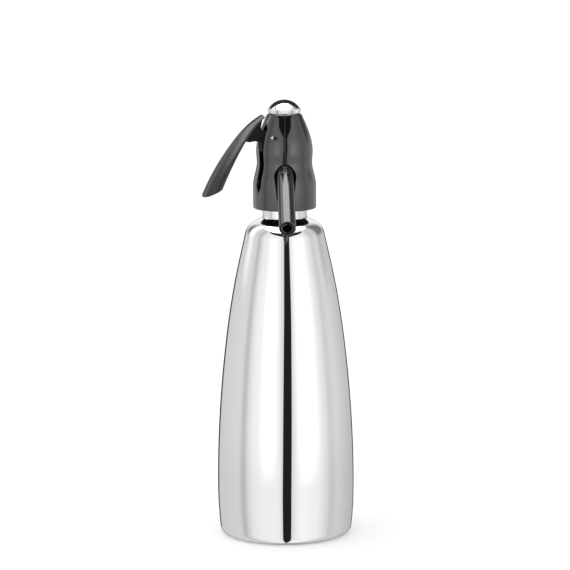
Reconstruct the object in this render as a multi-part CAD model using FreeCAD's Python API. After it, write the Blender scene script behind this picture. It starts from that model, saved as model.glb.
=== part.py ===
import FreeCAD, Part
import math
import os

# Soda siphon. Millimetres, +Z up, origin at the centre of the bottle's resting face.
# The spout points along -Y. The lever points to -X, turned towards -Y by lever_turn.

V = FreeCAD.Vector
X_AXIS = V(1, 0, 0)
Y_AXIS = V(0, 1, 0)
Z_AXIS = V(0, 0, 1)
CENTRE = V(0, 0, 0)
same_place = 1e-4           # two places this close are one

# bottle: pressed stainless steel
bottle_height = 272.0
bottle_wall = 1.0
foot_radius = 44.3          # outer edge of the ring it rests on
foot_width = 4.0
foot_corner = 7.0
base_dish = 2.5
dish_bevel = 5.0            # level width of the slope round the dish
side_lean = 0.12            # outward per unit up, just above the foot's corner
belly_radius = 53.0
belly_height = 48.0
upper_radius = 47.3         # on the long taper, above the belly
upper_height = 142.0
taper_radius = 37.5         # further up the taper
taper_height = 206.0
shoulder_radius = 30.7      # where the taper ends and the shoulder turns in
shoulder_drop = 35.6        # from the lip down to that place
shoulder_round = 14.0
shoulder_slope = 24.0       # degrees below horizontal, on the short cone to the neck
neck_radius = 17.0
neck_fillet = 2.0
neck_bore = 14.8
neck_ring_height = 24.5     # turned neck ring, from the lip down to its joint with the shoulder
thread_drop = 14.0          # threaded length below the lip
thread_start = 2.2          # first ridge above the threaded length's foot
thread_depth = 0.8
thread_pitch = 3.6
thread_count = 3
thread_crest = 1.2
thread_sink = 0.2           # the ridges reach this far into the neck

# head: valve body over the neck
thread_clearance = 0.3
gasket_thickness = 2.5
gasket_width = 4.4
collar_wall = 3.9
collar_length = 17.5        # from the gasket's top down
collar_edge = 1.0           # collar's straight side ends this far below the gasket's top
collar_taper = 4.0          # and its cone ends this far above it
body_radius = 16.0
body_height = 39.5          # from the gasket's top to the start of the cone
body_cone = 7.0
column_radius = 9.0
fit_clearance = 0.03        # a screwed or pressed joint, on the radius
running_clearance = 0.05    # a pin or shaft that turns or slides, on the radius
loose_clearance = 0.3       # faces of moving pieces that face each other
over = 1.0                  # how far a cutting shape passes the face it cuts

# black cover over the valve body
cover_wall = 2.5
cover_top_plate = 3.0
skirt_radius = 24.2
skirt_drop = 18.5           # from the gasket's top to the skirt's lower edge
skirt_height = 18.0
skirt_round = 1.2
waist_radius = 21.25
waist_rise = 35.5           # heights of the cover's outline above its lower edge
bulge_radius = 21.7
bulge_rise = 42.5
crown_radius = 17.5
crown_rise = 63.0
cover_top_radius = 13.5
cover_height = 72.4
cover_top_round = 0.6
spout_slot_width = 17.0
spout_slot_foot = 13.6      # width near its foot
spout_slot_rise = 35.0      # top of the arch above the cover's lower edge
spout_slot_low = 5.0        # its foot above that edge
arch_clearance = 0.7
lever_slot_width = 5.8
lever_slot_point = 4.5      # height of the point at each end
lever_slot_bottom = 13.0    # above the cover's lower edge
lever_slot_top = 67.0
lug_width = 3.6
lug_height = 9.0

# dispensing valve, on a level axis below the lever's pivot
stem_radius = 2.4
stem_round = 0.6
stem_shoulder = 1.0         # the thick stem starts this far inside the outlet space
stem_neck_radius = 1.7
seat_place = 3.0            # along the lever's direction from the centre
seat_bore = 3.6
outlet_length = 4.0
chamber_radius = 6.5
chamber_back = 11.0
plug_length = 5.0
plug_slot_depth = 2.0
plug_slot_width = 1.4
disc_radius = 5.0
disc_thickness = 1.8
valve_head_radius = 5.2
valve_head_thickness = 1.8
spring_guide_radius = 3.2
spring_guide_length = 3.0
spring_wire = 0.5           # radius
spring_slack = 0.2
spring_turns = 5
gland_radius = 4.2
gland_length = 1.3
gland_depth = 3.1
oring_section = 0.8
body_flat = 12.6            # flat on the body behind the lever's nose
flat_foot = 2.0             # the flat starts this far below the nose

# lever
lever_turn = 33.0           # degrees, from -X towards -Y
pivot_reach = 16.7
pivot_rise = 37.5           # above the gasket's top
pin_radius = 1.4
pin_length = 19.6
pin_round = 0.35
lever_boss_radius = 4.2
pocket_rim = 0.4            # body left between the gland's recess and the pocket above it
lever_web = 4.9
nose_radius = 3.7
nose_reach = 2.2            # nose centre, outward and down from the pivot
nose_drop = 7.7
link_offset = 1.0           # link's inner side, inward of the pivot
blade_wall = 2.2
blade_edge = 0.45
blade_end_setback = 13.0
blade_end_depth = 7.5
blade_end_trim = 1.9
# the blade's crest, outward and up from the pivot, from its upper end to its tip
crest = [(4.3, 17.6), (15.5, 11.2), (32.3, -4.8), (45.8, -21.9), (58.4, -43.4)]
# full width, whole depth and straight side of the blade at those places
blade_widths = [7.0, 10.4, 15.6, 18.8, 20.4]
blade_depths = [2.2, 3.2, 4.6, 5.9, 6.8]
blade_sides = [0.6, 0.9, 1.3, 1.6, 1.8]
# the web's inner side, outward and up from the pivot, and its other corners from the crest
web_inner = [(5.4, 6.0), (6.7, 7.7), (6.1, 10.1)]
web_head = (0.3, -2.0)      # from the crest's first place
web_crown = (-1.2, -1.6)    # from the crest's second place
web_heel = [(-0.3, -1.0), (-3.8, -5.2)]     # from half way between its second and third places
web_low = [(17.5, -2.8), (5.9, -2.8)]       # outward and up from the pivot

# spout, a straight tube that falls at spout_fall from the head's axis
spout_radius = 6.5
spout_end_round = 0.6
spout_bore = 3.65
spout_fall = 30.0           # degrees below horizontal
spout_reach = 78.0          # from the head's axis to the middle of the open end
spout_rise = 21.5           # its axis above the gasket's top, at the head's axis
socket_reach = 10.0
socket_wall = 2.3
socket_back = 2.0           # the boss starts this far behind the socket's floor
socket_trim_radius = 18.3
spout_seal_thickness = 1.2
spout_seal_bore = 3.9
outlet_drill = 1.9

# riser and measuring tubes
riser_radius = 4.0
riser_bore = 2.75
riser_floor_gap = 5.0
riser_socket = 9.5
spigot_radius = 7.0
spigot_length = 8.5
measuring_wall = 1.2
measuring_length = 60.0
riser_seal_radius = 5.6
riser_seal_height = 2.0
seal_ledge = 1.2

# gas inlet, check valve and relief valve
nipple_radius = 7.0
nipple_height = 10.0
nipple_chamfer = 0.5
nipple_spigot_radius = 5.5
nipple_spigot_length = 5.2
charge_bore = 4.6
charge_depth = 12.0
gas_drill = 1.1
gas_offset = 10.2
check_radius = 2.6
check_height = 5.0
check_foot = 0.4
check_skin = 0.8
check_slit = 0.3
gas_elbow_drop = 2.0
pin_flange = 1.2
piercer_radius = 1.5
piercer_height = 3.4        # straight part above its flange
piercer_point = 2.0
piercer_tip = 0.2
piercer_bore = 0.5
piercer_cross_drop = 1.0
charge_gasket_height = 2.0
relief_turn = 62.0          # degrees around Z from the +X axis
relief_rise = 13.5          # above the gasket's top
relief_radius = 3.2
relief_disc_height = 1.4
relief_plug_length = 2.6
relief_feed = 9.8           # feed hole at the sealing face, from the axis
relief_place = 8.0          # disc's seat, from the axis
relief_bore = 2.2
relief_vent = 0.8
relief_wire = 0.35
relief_turns = 3

# cover nut and cap on top
nut_radius = 10.4
nut_height = 2.4
notch_depth = 1.4
notch_width = 2.0
cap_radius = 12.6
cap_gap = 0.3
ring_height = 4.1
ring_skirt_bore = 11.1
ring_web_drop = 1.6
ring_boss_radius = 10.2
ring_boss_height = 1.0
knurl_count = 72
knurl_radius = 0.35
knurl_depth = 0.21
dome_radius = 12.5
dome_height = 7.0
dome_wall = 1.1
cap_gasket_height = 1.0
cap_gasket_margin = 0.4

# ---- heights that follow from the sizes above

lip_z = bottle_height
seat_z = lip_z + gasket_thickness          # valve body's sealing face, on the gasket
cover_z = seat_z - skirt_drop
cover_top_z = cover_z + cover_height
body_top_z = seat_z + body_height
column_z = body_top_z + body_cone
plate_z = cover_top_z - cover_top_plate
pivot_z = seat_z + pivot_rise
valve_z = pivot_z - nose_drop
collar_bore = neck_radius + thread_clearance
collar_radius = collar_bore + collar_wall
stem_tip = pivot_reach + nose_reach - nose_radius - loose_clearance
nipple_top_z = plate_z + nipple_height
inlet_floor_z = nipple_top_z - charge_depth
ring_z = cover_top_z + cap_gap
dome_z = ring_z + ring_height
lever_azimuth = 180 + lever_turn


def save(shape, name):
    """Write one node's STEP file."""
    shape = shape.removeSplitter()
    shape.exportStep("parts/" + name + ".step")
    print(name, len(shape.Solids), shape.isValid(), round(shape.Volume, 2))


def cylinder(radius, low, high, x=0.0, y=0.0):
    """Upright cylinder between two heights."""
    return Part.makeCylinder(radius, high - low, V(x, y, low), Z_AXIS)


def ring(outer, inner, low, high, x=0.0, y=0.0):
    """Upright ring between two heights."""
    return cylinder(outer, low, high, x, y).cut(cylinder(inner, low - over, high + over, x, y))


def along_x(radius, start, end, z):
    """Level cylinder along X at height z."""
    return Part.makeCylinder(radius, end - start, V(start, 0, z), X_AXIS)


def ring_along_x(outer, inner, start, end, z):
    """Level ring along X at height z."""
    return along_x(outer, start, end, z).cut(along_x(inner, start - over, end + over, z))


def drill(radius, start, end):
    """Round bar between two points."""
    way = end.sub(start)
    return Part.makeCylinder(radius, way.Length, start, way)


def turned(shape, degrees):
    """Copy of a shape turned about Z."""
    copy = shape.copy()
    copy.rotate(CENTRE, Z_AXIS, degrees)
    return copy


def revolve(edges):
    """Solid of revolution about Z from edges in the XZ plane."""
    face = Part.Face(Part.Wire(Part.__sortEdges__(edges)))
    return face.revolve(CENTRE, Z_AXIS, 360)


def line(a, b):
    """Straight edge between two (radius, height) places."""
    return Part.LineSegment(V(a[0], 0, a[1]), V(b[0], 0, b[1])).toShape()


def lines(places):
    """Straight edges through a row of (radius, height) places."""
    return [line(a, b) for a, b in zip(places, places[1:])]


def arc(a, middle, b):
    """Arc through three (radius, height) places."""
    return Part.Arc(V(a[0], 0, a[1]), V(middle[0], 0, middle[1]), V(b[0], 0, b[1])).toShape()


def curve(places, start_slope, end_slope):
    """Smooth curve through (radius, height) places, with the directions of its ends."""
    spline = Part.BSplineCurve()
    spline.interpolate(
        Points=[V(r, 0, z) for r, z in places],
        InitialTangent=V(start_slope[0], 0, start_slope[1]),
        FinalTangent=V(end_slope[0], 0, end_slope[1]),
    )
    return spline.toShape()


def corner_middle(centre, radius, degrees):
    """Point on a corner arc, at an angle from horizontal."""
    angle = math.radians(degrees)
    return (centre[0] + radius * math.cos(angle), centre[1] + radius * math.sin(angle))


def bottle_solid(inset):
    """The bottle's outline revolved, drawn in by inset all round; 0 is the outside."""
    floor = inset
    top = lip_z + inset
    neck = neck_radius if inset == 0 else neck_bore
    corner = foot_corner - inset
    corner_centre = (foot_radius, floor + corner)
    side = foot_radius + foot_corner - inset
    shoulder_z = lip_z - shoulder_drop
    slope = math.radians(shoulder_slope)
    turn = shoulder_round - inset
    lean = math.degrees(math.atan2(taper_radius - shoulder_radius, shoulder_z - taper_height))
    turn_centre = (
        shoulder_radius - inset - turn * math.cos(math.radians(lean)),
        shoulder_z - turn * math.sin(math.radians(lean)),
    )
    turn_end = corner_middle(turn_centre, turn, 90 - shoulder_slope)
    cone_z = turn_end[1] + (turn_end[0] - neck) * math.tan(slope)
    taper = [
        (side, floor + corner),
        (belly_radius - inset, belly_height),
        (upper_radius - inset, upper_height),
        (taper_radius - inset, taper_height),
        (shoulder_radius - inset, shoulder_z),
    ]
    end_way = (-math.sin(math.radians(lean)), math.cos(math.radians(lean)))
    edges = [
        line((0, floor), (foot_radius, floor)),
        arc((foot_radius, floor), corner_middle(corner_centre, corner, -45), (side, floor + corner)),
        curve(taper, (side_lean, 1), end_way),
        arc(taper[-1], corner_middle(turn_centre, turn, 45 + (lean - shoulder_slope) / 2), turn_end),
        line(turn_end, (neck, cone_z)),
    ] + lines([(neck, cone_z), (neck, top), (0, top), (0, floor)])
    return revolve(edges)


def make_bottle():
    outside = bottle_solid(0)
    root = neck_radius - thread_depth
    thread_z = lip_z - thread_drop
    outside = outside.cut(ring(neck_radius + over, root, thread_z, lip_z + over))
    for turn in range(thread_count):
        ridge_z = thread_z + thread_start + thread_pitch * turn
        ridge = ring(neck_radius - fit_clearance, root - thread_sink, ridge_z, ridge_z + thread_crest)
        outside = outside.fuse(ridge)
    dish_radius = foot_radius - foot_width
    dish = Part.makeCone(dish_radius, dish_radius - dish_bevel, base_dish, CENTRE, Z_AXIS)
    floor_radius = dish_radius + bottle_wall
    floor_place = V(0, 0, bottle_wall)
    inner_floor = Part.makeCone(floor_radius, floor_radius - dish_bevel, base_dish, floor_place, Z_AXIS)
    inside = bottle_solid(bottle_wall).cut(inner_floor)
    bottle = outside.cut(dish).cut(inside)
    neck_root = [e for e in bottle.Edges if is_neck_root(e)]
    bottle = bottle.makeFillet(neck_fillet, neck_root)

    # the threaded neck is a ring of its own, joined to the pressed bottle
    above_joint = cylinder(belly_radius, lip_z - neck_ring_height, lip_z + over)
    save(bottle.cut(above_joint), "bottle")
    save(bottle.common(above_joint), "neck_ring")


def is_neck_root(edge):
    """The circle where the shoulder's cone meets the outside of the neck."""
    if not isinstance(edge.Curve, Part.Circle):
        return False
    z = edge.Curve.Center.z
    on_neck = abs(edge.Curve.Radius - neck_radius) < same_place
    return on_neck and lip_z - shoulder_drop < z < lip_z - thread_drop - same_place


def make_neck_gasket():
    save(ring(neck_radius, neck_radius - gasket_width, lip_z, seat_z), "neck_gasket")


def spout_point(reach):
    """Place on the spout's axis at a level distance from the head's axis."""
    return V(0, -reach, seat_z + spout_rise - reach * math.tan(math.radians(spout_fall)))


def spout_bar(radius, start_reach, end_reach):
    """Bar along the spout's axis between two level distances."""
    return drill(radius, spout_point(start_reach), spout_point(end_reach))


def body_outline():
    """Outside of the valve body, before its boss, flat and bores."""
    places = [
        (0, seat_z - collar_length),
        (collar_radius, seat_z - collar_length),
        (collar_radius, seat_z - collar_edge),
        (body_radius, seat_z + collar_taper),
        (body_radius, body_top_z),
        (column_radius, column_z),
        (column_radius, plate_z),
        (0, plate_z),
        (0, seat_z - collar_length),
    ]
    return revolve(lines(places))


def make_valve_body():
    body = body_outline()
    boss = spout_bar(spout_radius + socket_wall, socket_reach - socket_back, skirt_radius)
    trim = cylinder(socket_trim_radius, seat_z + collar_edge, body_top_z)
    body = body.fuse(boss.common(trim))

    # space for the bottle's neck, and the spigot that carries the tubes
    collar_z = seat_z - collar_length
    neck_space = ring(collar_bore, spigot_radius, collar_z - over, seat_z)
    below_spigot = cylinder(collar_bore, collar_z - over, seat_z - spigot_length)
    body = body.cut(neck_space).cut(below_spigot)

    # flat and pocket for the lever, on the lever's side
    flat_z = valve_z - nose_radius - flat_foot
    pocket_z = valve_z + gland_radius + pocket_rim
    lug_span = lever_slot_width + 2 * lug_width + 2 * loose_clearance
    flat = Part.makeBox(skirt_radius, lug_span, cover_height, V(body_flat, -lug_span / 2, flat_z))
    pocket_x = pivot_reach - lever_boss_radius - 2 * loose_clearance
    pocket = Part.makeBox(skirt_radius, lug_span, cover_height, V(pocket_x, -lug_span / 2, pocket_z))
    body = body.cut(turned(flat.fuse(pocket), lever_azimuth))

    # valve bores along the lever's direction
    bores = [
        along_x(chamber_radius, -body_radius - over, seat_place, valve_z),
        along_x(seat_bore, 0, seat_place + outlet_length, valve_z),
        along_x(stem_radius + running_clearance, 0, body_flat + over, valve_z),
        along_x(gland_radius, body_flat - gland_depth, body_flat + over, valve_z),
    ]
    for bore in bores:
        body = body.cut(turned(bore, lever_azimuth))

    # spout socket and the way down to it from the valve
    body = body.cut(spout_bar(spout_radius + fit_clearance, socket_reach, spout_reach / 2))
    outlet_x = seat_place + outlet_length / 2
    outlet = V(*polar(outlet_x, lever_azimuth), valve_z - seat_bore / 2)
    body = body.cut(drill(outlet_drill, outlet, spout_point(socket_reach + over)))

    # riser's socket, its seal's recess and the way up into the valve chamber
    spigot_z = seat_z - spigot_length
    body = body.cut(cylinder(riser_radius + fit_clearance, spigot_z - over, seat_z + riser_socket))
    body = body.cut(cylinder(riser_bore, seat_z, valve_z))
    body = body.cut(cylinder(riser_seal_radius, spigot_z - over, spigot_z + riser_seal_height))

    # gas way from the nipple's spigot, round the valve chamber, to the sealing face
    gas = gas_place()
    elbow_z = body_top_z - gas_elbow_drop
    floor_z = plate_z - nipple_spigot_length
    body = body.cut(cylinder(nipple_spigot_radius + fit_clearance, floor_z, plate_z + over))
    body = body.cut(drill(gas_drill, V(gas[0], gas[1], elbow_z), V(0, 0, floor_z + gas_drill / 2)))
    body = body.cut(cylinder(gas_drill, seat_z - over, elbow_z, *gas))
    body = body.cut(cylinder(check_radius, seat_z - over, seat_z + check_height, *gas))

    # relief valve's bore and its feed
    body = body.cut(relief_bar(relief_radius, relief_place, body_radius + over))
    body = body.cut(relief_bar(relief_bore, relief_place - relief_bore, relief_place))
    feed_low = V(*polar(relief_feed, relief_turn), seat_z - over)
    feed_high = V(*polar(relief_place - relief_bore / 2, relief_turn), seat_z + relief_rise)
    body = body.cut(drill(gas_drill, feed_low, feed_high))
    save(body, "valve_body")


def polar(radius, degrees):
    """Level place at a radius and azimuth."""
    return (radius * math.cos(math.radians(degrees)), radius * math.sin(math.radians(degrees)))


def gas_place():
    """Gas way's level place, square to the lever's direction and away from the spout."""
    return polar(gas_offset, lever_azimuth - 90)


def relief_bar(radius, start, end):
    """Level bar along the relief valve's axis."""
    return turned(along_x(radius, start, end, seat_z + relief_rise), relief_turn)


def cover_outline(inset):
    """The cover's outline revolved; inset 0 is the outside, cover_wall the inside."""
    low = cover_z - inset
    skirt = skirt_radius - inset
    shape_places = [
        (skirt, cover_z + skirt_height),
        (waist_radius - inset, cover_z + waist_rise),
        (bulge_radius - inset, cover_z + bulge_rise),
        (crown_radius - inset, cover_z + crown_rise),
        (cover_top_radius - inset, cover_top_z),
    ]
    rise = cover_top_z - (cover_z + crown_rise)
    run = crown_radius - cover_top_radius
    outline = [
        curve(shape_places, (0, 1), (-run, rise)),
        line((0, low), (skirt, low)),
        line((skirt, low), (skirt, cover_z + skirt_height)),
        line((cover_top_radius - inset, cover_top_z), (0, cover_top_z)),
        line((0, cover_top_z), (0, low)),
    ]
    solid = revolve(outline)
    if inset > 0:
        solid = solid.cut(cylinder(skirt_radius, plate_z, cover_top_z + over))
    return solid


def make_head_cover():
    outside = cover_outline(0)
    rims = [e for e in outside.Edges if is_circle_at(e, cover_z, skirt_radius)]
    outside = outside.makeFillet(skirt_round, rims)
    rims = [e for e in outside.Edges if is_circle_at(e, cover_top_z, cover_top_radius)]
    outside = outside.makeFillet(cover_top_round, rims)
    inside = cover_outline(cover_wall)
    cover = outside.cut(inside)
    cover = cover.cut(cylinder(nipple_radius + loose_clearance, plate_z - over, cover_top_z + over))

    # tall opening for the spout: an arch above, narrowing to a smaller round below
    cover = cover.cut(spout_opening())

    # the arch leans back so that it clears the falling tube
    cover = cover.cut(spout_bar(spout_radius + arch_clearance, socket_reach, spout_reach / 2))

    # lugs that carry the lever's pin, inside the wall
    span = lever_slot_width / 2 + lug_width
    lug_x = body_flat + loose_clearance
    lug = Part.makeBox(skirt_radius, 2 * span, lug_height, V(lug_x, -span, pivot_z - lug_height / 2))
    cover = cover.fuse(turned(lug, lever_azimuth).common(outside))

    # lever's slot, with pointed ends
    half = lever_slot_width / 2
    low = cover_z + lever_slot_bottom
    high = cover_z + lever_slot_top
    inner = lug_x - over
    outline = [
        V(inner, 0, low),
        V(inner, half, low + lever_slot_point),
        V(inner, half, high - lever_slot_point),
        V(inner, 0, high),
        V(inner, -half, high - lever_slot_point),
        V(inner, -half, low + lever_slot_point),
        V(inner, 0, low),
    ]
    slot = Part.Face(Part.makePolygon(outline)).extrude(V(2 * skirt_radius, 0, 0))
    cover = cover.cut(turned(slot, lever_azimuth))
    cover = cover.cut(pin_bar(pin_radius + fit_clearance, skirt_radius))
    save(cover, "head_cover")


def spout_opening():
    """Bar through the cover's front, as wide as the arch at the top and narrower at its foot."""
    top = spout_slot_width / 2
    foot = spout_slot_foot / 2
    top_z = cover_z + spout_slot_rise - top
    foot_z = cover_z + spout_slot_low + foot
    sides = [V(-top, 0, top_z), V(top, 0, top_z), V(foot, 0, foot_z), V(-foot, 0, foot_z), V(-top, 0, top_z)]
    out = V(0, -2 * skirt_radius, 0)
    opening = Part.Face(Part.makePolygon(sides)).extrude(out)
    for radius, z in ((top, top_z), (foot, foot_z)):
        opening = opening.fuse(Part.makeCylinder(radius, 2 * skirt_radius, V(0, 0, z), out))
    return opening


def is_circle_at(edge, z, radius):
    """A circle of this radius at this height."""
    if not isinstance(edge.Curve, Part.Circle):
        return False
    return abs(edge.Curve.Center.z - z) < same_place and abs(edge.Curve.Radius - radius) < same_place


def pin_bar(radius, half_length):
    """Bar on the lever's pivot axis."""
    bar = Part.makeCylinder(radius, 2 * half_length, V(pivot_reach, -half_length, pivot_z), Y_AXIS)
    return turned(bar, lever_azimuth)


def make_lever_pin():
    pin = pin_bar(pin_radius, pin_length / 2)
    ends = [e for e in pin.Edges if isinstance(e.Curve, Part.Circle)]
    save(pin.makeFillet(pin_round, ends), "lever_pin")


def blade_sections():
    """Arched sections across the crest, square to it."""
    points = [V(pivot_reach + x, 0, pivot_z + z) for x, z in crest]
    line_of_crest = Part.BSplineCurve()
    line_of_crest.interpolate(points)
    sections = []
    for point, width, depth, side in zip(points, blade_widths, blade_depths, blade_sides):
        way = line_of_crest.tangent(line_of_crest.parameter(point))[0]
        inward = V(way.z, 0, -way.x)
        if inward.x > 0:
            inward = inward.negative()
        half = width / 2
        rim = point.add(V(inward).multiply(depth))
        under = point.add(V(inward).multiply(blade_wall))
        left = rim.add(V(0, half, 0))
        right = rim.add(V(0, -half, 0))
        left_shoulder = left.sub(V(inward).multiply(side))
        right_shoulder = right.sub(V(inward).multiply(side))
        lip = V(0, 2 * blade_edge, 0)
        left_in = left.sub(lip).add(V(inward).multiply(blade_edge))
        right_in = right.add(lip).add(V(inward).multiply(blade_edge))
        edges = [
            Part.LineSegment(left, left_shoulder).toShape(),
            Part.Arc(left_shoulder, point, right_shoulder).toShape(),
            Part.LineSegment(right_shoulder, right).toShape(),
            Part.LineSegment(right, right_in).toShape(),
            Part.Arc(right_in, under, left_in).toShape(),
            Part.LineSegment(left_in, left).toShape(),
        ]
        sections.append(Part.Wire(edges))
    return sections


def make_lever():
    blade = Part.makeLoft(blade_sections(), True, False)

    # the end is cut aslant, from the crest's tip back to the rims
    tip = V(pivot_reach + crest[-1][0], 0, pivot_z + crest[-1][1])
    before = V(pivot_reach + crest[-2][0], 0, pivot_z + crest[-2][1])
    way = tip.sub(before).normalize()
    inward = V(way.z, 0, -way.x)
    cut_way = V(inward).multiply(blade_end_depth).sub(V(way).multiply(blade_end_setback)).normalize()
    out_way = V(-cut_way.z, 0, cut_way.x)
    if out_way.dot(way) < 0:
        out_way = out_way.negative()
    span = 2 * blade_widths[-1]
    corner = tip.sub(V(cut_way).multiply(span / 2)).sub(V(0, span / 2, 0))
    far = corner.add(V(cut_way).multiply(2 * span))
    depth = V(out_way).multiply(span)
    cutter_places = [corner, far, far.add(depth), corner.add(depth), corner]
    cutter = Part.Face(Part.makePolygon(cutter_places)).extrude(V(0, span, 0))
    cutter.translate(V(way).multiply(-blade_end_trim))
    blade = blade.cut(cutter)

    # web from the blade to the boss, and the nose below it
    half = lever_web / 2
    pivot = V(pivot_reach, 0, pivot_z)
    heel = ((crest[1][0] + crest[2][0]) / 2, (crest[1][1] + crest[2][1]) / 2)
    web_places = [(0, lever_boss_radius)] + web_inner
    web_places.append((crest[0][0] + web_head[0], crest[0][1] + web_head[1]))
    web_places.append((crest[1][0] + web_crown[0], crest[1][1] + web_crown[1]))
    web_places += [(heel[0] + x, heel[1] + z) for x, z in web_heel]
    web_places += web_low + [(nose_reach + nose_radius, -nose_drop), (0, 0), (0, lever_boss_radius)]
    web_points = [pivot.add(V(x, -half, z)) for x, z in web_places]
    web = Part.Face(Part.makePolygon(web_points)).extrude(V(0, lever_web, 0))
    boss = Part.makeCylinder(lever_boss_radius, lever_web, pivot.add(V(0, -half, 0)), Y_AXIS)
    nose_centre = pivot.add(V(nose_reach, -half, -nose_drop))
    nose = Part.makeCylinder(nose_radius, lever_web, nose_centre, Y_AXIS)
    # the link stays behind the nose's round on the valve's side
    link_width = nose_reach + nose_radius + link_offset
    link = Part.makeBox(link_width, lever_web, nose_drop, pivot.add(V(-link_offset, -half, -nose_drop)))
    arm = web.fuse([boss, nose, link]).removeSplitter()
    lever = blade.fuse(arm)
    lever = turned(lever, lever_azimuth).cut(pin_bar(pin_radius + running_clearance, skirt_radius))
    save(lever, "lever")


def make_spout():
    start = socket_reach + spout_seal_thickness * math.cos(math.radians(spout_fall))
    tube = spout_bar(spout_radius, start, spout_reach)
    ends = [e for e in tube.Edges if isinstance(e.Curve, Part.Circle) and e.CenterOfMass.y < -spout_reach / 2]
    tube = tube.makeFillet(spout_end_round, ends)
    bore = spout_bar(spout_bore, socket_reach - over, spout_reach + spout_radius)
    save(tube.cut(bore), "spout_tube")
    washer = spout_bar(spout_radius, socket_reach, start).cut(spout_bar(spout_seal_bore, 0, spout_reach))
    save(washer, "spout_seal")


def make_valve():
    back = seat_place - disc_thickness
    head_back = back - valve_head_thickness
    guide_end = head_back - spring_guide_length
    shoulder = seat_place + outlet_length - stem_shoulder
    stem = along_x(stem_radius, shoulder, stem_tip, valve_z)
    ends = [e for e in stem.Edges if isinstance(e.Curve, Part.Circle) and e.CenterOfMass.x > stem_tip - over]
    stem = stem.makeFillet(stem_round, ends)
    stem = stem.fuse(along_x(stem_neck_radius, head_back, shoulder, valve_z))
    stem = stem.fuse(along_x(valve_head_radius, head_back, back, valve_z))
    stem = stem.fuse(along_x(spring_guide_radius, guide_end, head_back, valve_z))
    save(turned(stem, lever_azimuth), "valve_stem")

    disc = ring_along_x(disc_radius, stem_neck_radius + fit_clearance, back, seat_place, valve_z)
    save(turned(disc, lever_azimuth), "valve_disc")

    # gland ring outside, O-ring behind it
    sleeve_bore = stem_radius + running_clearance
    gland_start = body_flat - gland_length
    gland = ring_along_x(gland_radius - fit_clearance, sleeve_bore, gland_start, body_flat, valve_z)
    save(turned(gland, lever_azimuth), "stem_gland")
    oring_x = body_flat - gland_depth + oring_section
    oring = Part.makeTorus(sleeve_bore + oring_section, oring_section, V(oring_x, 0, valve_z), X_AXIS)
    save(turned(oring, lever_azimuth), "stem_oring")

    plug = along_x(chamber_radius - fit_clearance, -chamber_back - plug_length, -chamber_back, valve_z)
    slot_corner = V(-chamber_back - plug_length, -chamber_radius, valve_z - plug_slot_width / 2)
    slot = Part.makeBox(plug_slot_depth, 2 * chamber_radius, plug_slot_width, slot_corner)
    save(turned(plug.cut(slot), lever_azimuth), "valve_plug")

    coil = spring_guide_radius + fit_clearance + spring_slack + spring_wire
    spring = coil_spring(coil, spring_wire, chamber_back + head_back, spring_turns)
    spring.rotate(CENTRE, Y_AXIS, 90)
    spring.translate(V(-chamber_back, 0, valve_z))
    save(turned(spring, lever_azimuth), "valve_spring")


def coil_spring(coil_radius, wire_radius, length, turns):
    """Round-wire spring along Z from 0 to length, with the wire inside that length."""
    free = length - 2 * wire_radius
    path = Part.makeHelix(free / turns, free, coil_radius)
    section = Part.Wire(Part.makeCircle(wire_radius, V(coil_radius, 0, 0), Y_AXIS))
    spring = Part.Wire(path).makePipeShell([section], True, True)
    spring.translate(V(0, 0, wire_radius))
    return spring


def make_tubes():
    riser = ring(riser_radius, riser_bore, base_dish + bottle_wall + riser_floor_gap, seat_z + riser_socket)
    save(riser, "riser_tube")

    low = seat_z - spigot_length
    seal = ring(riser_seal_radius - fit_clearance, riser_radius + fit_clearance, low, low + riser_seal_height)
    save(seal, "riser_seal")

    outer = spigot_radius + measuring_wall
    tube = ring(outer, spigot_radius + fit_clearance, low, seat_z)
    tube = tube.fuse(ring(outer, riser_radius + loose_clearance, low - seal_ledge, low))
    tube = tube.fuse(ring(outer, outer - measuring_wall, seat_z - measuring_length, low - seal_ledge))
    save(tube, "measuring_tube")


def make_inlet():
    nipple = cylinder(nipple_radius, plate_z, nipple_top_z)
    rims = [e for e in nipple.Edges if is_circle_at(e, nipple_top_z, nipple_radius)]
    nipple = nipple.makeChamfer(nipple_chamfer, rims)
    floor_z = plate_z - nipple_spigot_length
    nipple = nipple.fuse(cylinder(nipple_spigot_radius, floor_z, plate_z))
    nipple = nipple.cut(cylinder(charge_bore, inlet_floor_z, nipple_top_z + over))
    nipple = nipple.cut(cylinder(gas_drill, floor_z - over, nipple_top_z))
    save(nipple, "inlet_nipple")

    # hollow needle with a cross hole above its flange
    flange_top = inlet_floor_z + pin_flange
    shank_z = flange_top + piercer_height
    cross_z = shank_z - piercer_cross_drop
    needle = cylinder(charge_bore - fit_clearance, inlet_floor_z, flange_top)
    needle = needle.fuse(cylinder(piercer_radius, inlet_floor_z, shank_z))
    shank_end = V(0, 0, shank_z)
    needle = needle.fuse(Part.makeCone(piercer_radius, piercer_tip, piercer_point, shank_end, Z_AXIS))
    needle = needle.cut(cylinder(piercer_bore, inlet_floor_z - over, cross_z))
    needle = needle.cut(Part.makeCylinder(piercer_bore, 2 * piercer_radius, V(0, 0, cross_z), X_AXIS))
    save(needle, "piercing_pin")

    gasket_top = flange_top + charge_gasket_height
    gasket = ring(charge_bore - fit_clearance, piercer_radius + fit_clearance, flange_top, gasket_top)
    save(gasket, "charge_gasket")

    # duckbill valve at the foot of the gas way
    gas = gas_place()
    foot_z = seat_z + check_foot
    hollow = check_height - check_foot - check_skin
    check = cylinder(check_radius - fit_clearance, foot_z, seat_z + check_height, *gas)
    slit_foot = V(gas[0], gas[1], foot_z)
    check = check.cut(Part.makeCone(check_radius / 2, check_slit, hollow, slit_foot, Z_AXIS))
    save(check, "check_valve")


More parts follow.
